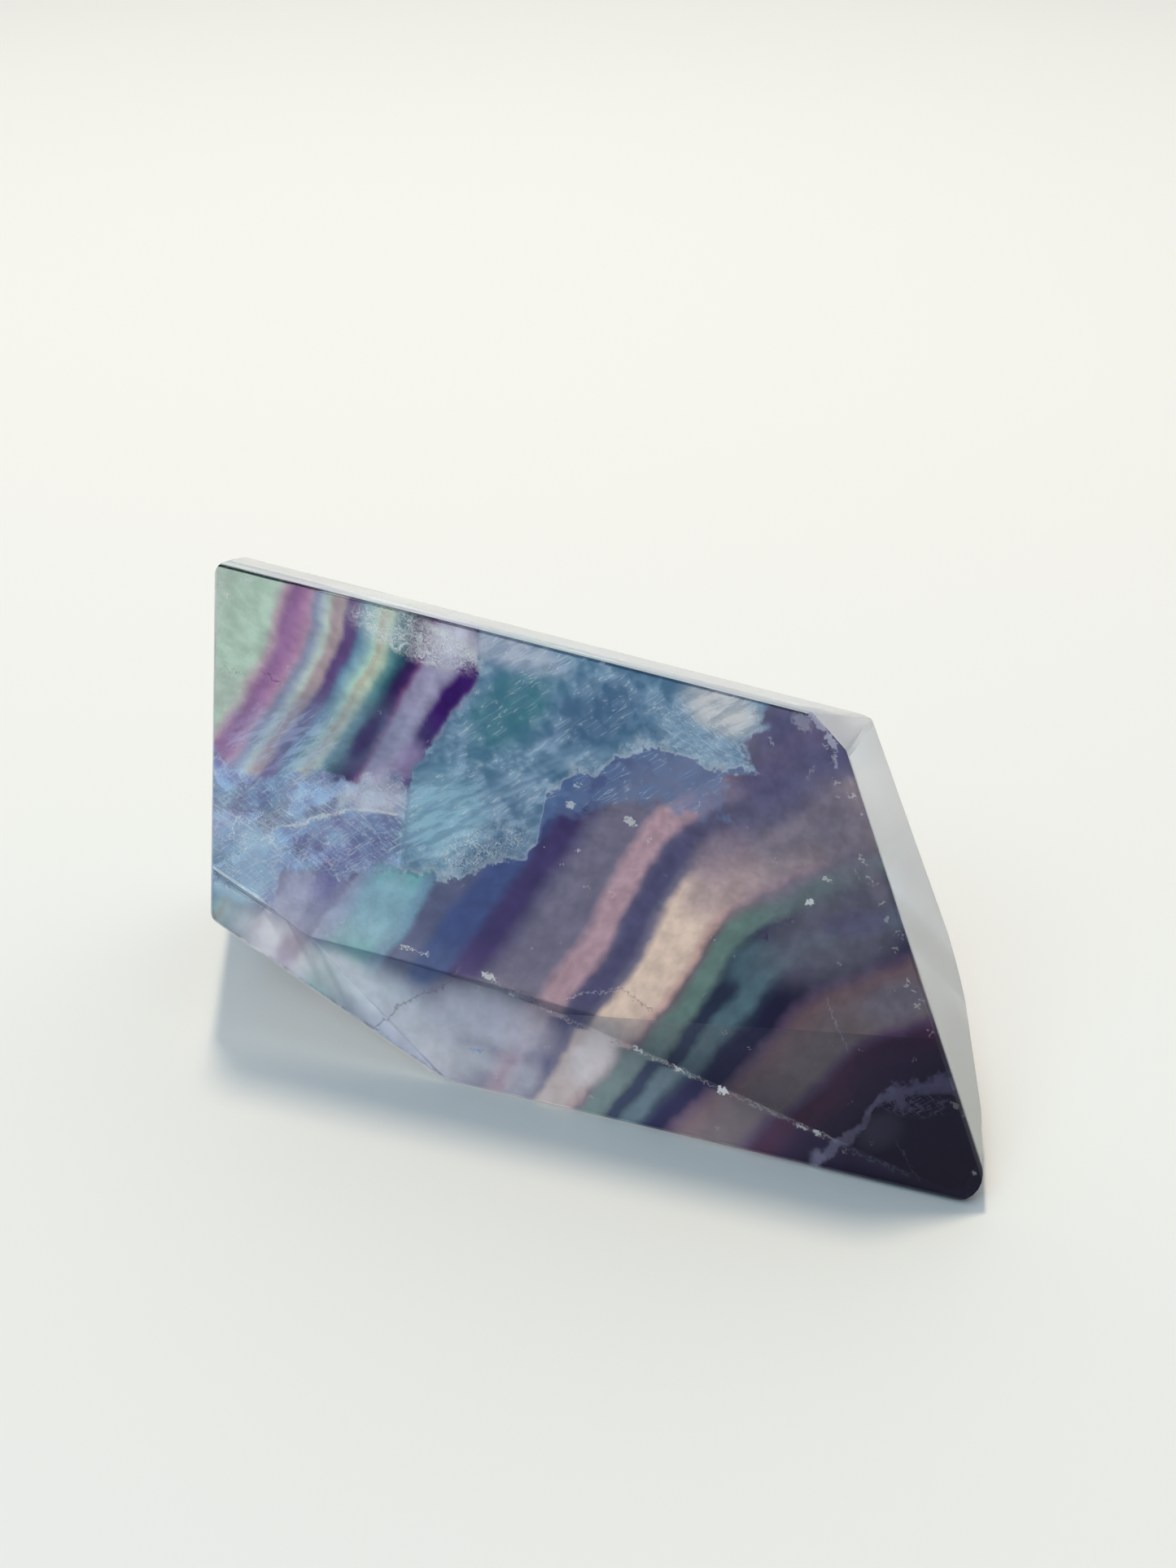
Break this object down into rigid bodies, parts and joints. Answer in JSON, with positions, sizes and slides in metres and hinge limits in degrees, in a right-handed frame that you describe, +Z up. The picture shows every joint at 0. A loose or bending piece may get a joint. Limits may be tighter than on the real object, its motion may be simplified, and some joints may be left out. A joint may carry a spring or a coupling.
{
  "type": "fluorite freeform",
  "caption": "Polished freeform stone of banded, see-through fluorite with flat facets; stands on a flat base and leans back, for display.",
  "frame": {"origin": "middle of the stone's box, on the surface that it stands on", "axes": "+X along the front edge of the base, towards the pointed toe; +Y back, away from the large front face; +Z up"},
  "size_m": [0.0652, 0.021, 0.0336],
  "materials": {
    "fluorite": "polished, clear to milky, banded in violet, teal, green, rose and cream"
  },
  "bodies": {
    "root": {"fluorite_stone": "fluorite"}
  },
  "joints": []
}
